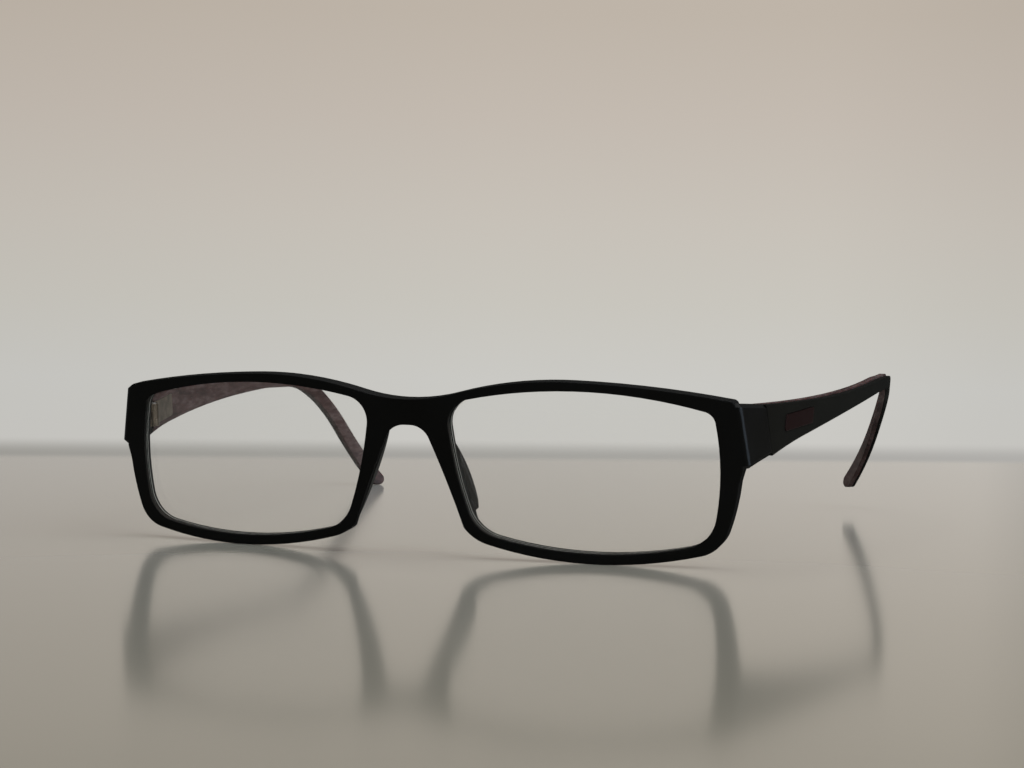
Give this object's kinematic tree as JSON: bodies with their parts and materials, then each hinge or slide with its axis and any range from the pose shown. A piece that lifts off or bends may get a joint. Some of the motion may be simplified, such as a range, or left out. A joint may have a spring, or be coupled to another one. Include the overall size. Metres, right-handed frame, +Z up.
{
  "type": "eyeglasses",
  "caption": "Rectangular eyeglasses with a dark moulded front, clear lenses, nose pads and two-layer temples that fold on barrel hinges",
  "frame": {"origin": "Bottom centre of the overall box with both temples open: on the table, midway between the temples and midway front to back.", "axes": "+X to the wearer's left, +Y back along the temples, +Z up."},
  "size_m": [0.1584, 0.1482, 0.0356],
  "materials": {
    "frame_black": "satin moulded acetate, near black",
    "lens_clear": "clear polished lens with a thin coating",
    "pad_black": "satin moulded plastic",
    "hinge_metal": "tumbled nickel silver",
    "screw_steel": "bright turned steel",
    "temple_olive": "satin acetate, dark olive brown",
    "liner_maroon": "grained translucent acetate, maroon",
    "core_metal": "drawn wire, flattened",
    "inlay_red": "polished dark red enamel"
  },
  "bodies": {
    "front": {"front_frame": "frame_black", "lens_left": "lens_clear", "lens_right": "lens_clear", "nose_pad_left": "pad_black", "nose_pad_right": "pad_black", "hinge_front_left": "hinge_metal", "hinge_front_right": "hinge_metal", "hinge_screw_left": "screw_steel", "hinge_screw_right": "screw_steel"},
    "temple_left": {"temple_left": "temple_olive", "temple_liner_left": "liner_maroon", "temple_core_left": "core_metal", "inlay_left": "inlay_red", "hinge_temple_left": "hinge_metal"},
    "temple_right": {"temple_right": "temple_olive", "temple_liner_right": "liner_maroon", "temple_core_right": "core_metal", "inlay_right": "inlay_red", "hinge_temple_right": "hinge_metal"}
  },
  "joints": [
    {"name": "left_temple_fold", "type": "hinge", "parent": "front", "child": "temple_left", "pos_m": [0.06462, -0.05608, 0.0252], "axis": [0, -0.1059, 0.9944], "range_deg": [0, 82]},
    {"name": "right_temple_fold", "type": "hinge", "parent": "front", "child": "temple_right", "pos_m": [-0.06462, -0.05608, 0.0252], "axis": [0, 0.1059, -0.9944], "range_deg": [0, 92]}
  ]
}
